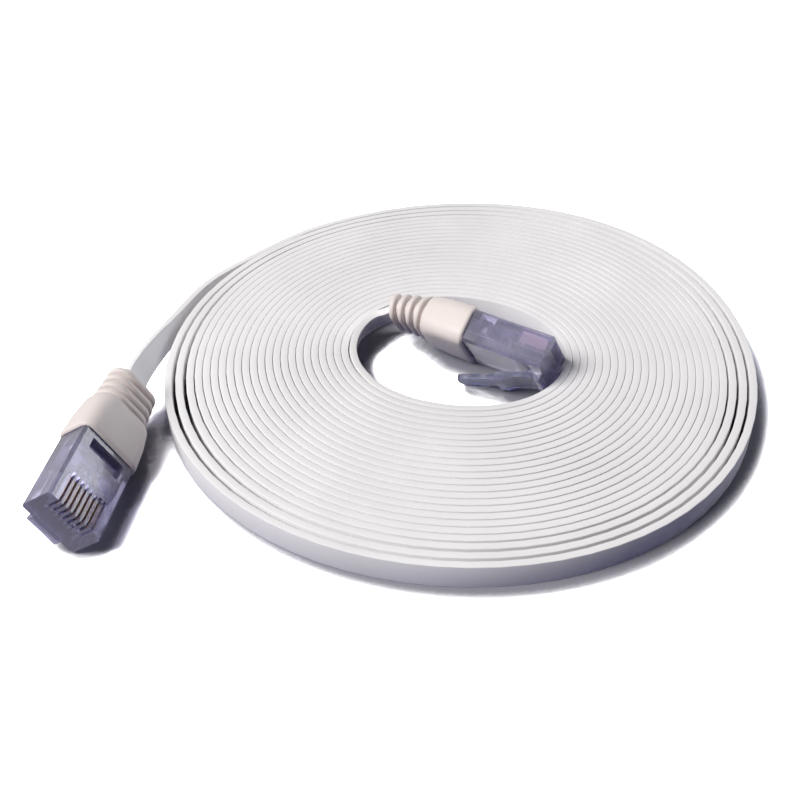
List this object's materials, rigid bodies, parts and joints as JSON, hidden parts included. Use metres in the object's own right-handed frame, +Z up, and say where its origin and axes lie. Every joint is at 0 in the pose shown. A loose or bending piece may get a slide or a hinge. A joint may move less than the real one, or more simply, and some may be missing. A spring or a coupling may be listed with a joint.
{
  "type": "ethernet patch cable",
  "caption": "Flat network patch cable wound on its edge into a flat spiral coil, with a clear keyed plug, springy latch tab and ribbed boot at each end.",
  "frame": {"origin": "middle of the footprint, on the surface that the coil lies on", "axes": "+Z up; +X to the right as pictured, along the longest extent; +Y away from the viewer"},
  "size_m": [0.1262, 0.111, 0.0139],
  "materials": {
    "jacket": "smooth white cable jacket",
    "boot": "soft cream-white moulding",
    "clear_housing": "clear, faintly blue-violet",
    "clear_latch": "clear, faintly blue-violet",
    "clear_guide": "clear",
    "contact": "gold-plated",
    "wire_1": "conductor insulation",
    "wire_2": "conductor insulation",
    "wire_3": "conductor insulation",
    "wire_4": "conductor insulation",
    "wire_5": "conductor insulation",
    "wire_6": "conductor insulation",
    "wire_7": "conductor insulation",
    "wire_8": "conductor insulation"
  },
  "bodies": {
    "cable": {"coil": "jacket", "outer_lead": "jacket", "inner_lead": "jacket", "plug_a_housing": "clear_housing", "plug_a_boot": "boot", "plug_a_cable_end": "jacket", "plug_a_wire_guide": "clear_guide", "plug_a_contact_1": "contact", "plug_a_contact_2": "contact", "plug_a_contact_3": "contact", "plug_a_contact_4": "contact", "plug_a_contact_5": "contact", "plug_a_contact_6": "contact", "plug_a_contact_7": "contact", "plug_a_contact_8": "contact", "plug_a_wire_1": "wire_1", "plug_a_wire_2": "wire_2", "plug_a_wire_3": "wire_3", "plug_a_wire_4": "wire_4", "plug_a_wire_5": "wire_5", "plug_a_wire_6": "wire_6", "plug_a_wire_7": "wire_7", "plug_a_wire_8": "wire_8", "plug_b_housing": "clear_housing", "plug_b_boot": "boot", "plug_b_cable_end": "jacket", "plug_b_wire_guide": "clear_guide", "plug_b_contact_1": "contact", "plug_b_contact_2": "contact", "plug_b_contact_3": "contact", "plug_b_contact_4": "contact", "plug_b_contact_5": "contact", "plug_b_contact_6": "contact", "plug_b_contact_7": "contact", "plug_b_contact_8": "contact", "plug_b_wire_1": "wire_1", "plug_b_wire_2": "wire_2", "plug_b_wire_3": "wire_3", "plug_b_wire_4": "wire_4", "plug_b_wire_5": "wire_5", "plug_b_wire_6": "wire_6", "plug_b_wire_7": "wire_7", "plug_b_wire_8": "wire_8"},
    "latch_a": {"plug_a_latch": "clear_latch"},
    "latch_b": {"plug_b_latch": "clear_latch"}
  },
  "joints": [
    {"name": "latch_a_flex", "type": "hinge", "parent": "cable", "child": "latch_a", "pos_m": [-0.05964, -0.04592, 0.00468], "axis": [0.5531, -0.0827, -0.829], "range_deg": [0, 14], "stiffness_Nm_per_rad": 0.1},
    {"name": "latch_b_flex", "type": "hinge", "parent": "cable", "child": "latch_b", "pos_m": [0.02056, -0.00948, 0.00462], "axis": [0.3039, 0.4864, -0.8192], "range_deg": [0, 14], "stiffness_Nm_per_rad": 0.1}
  ]
}
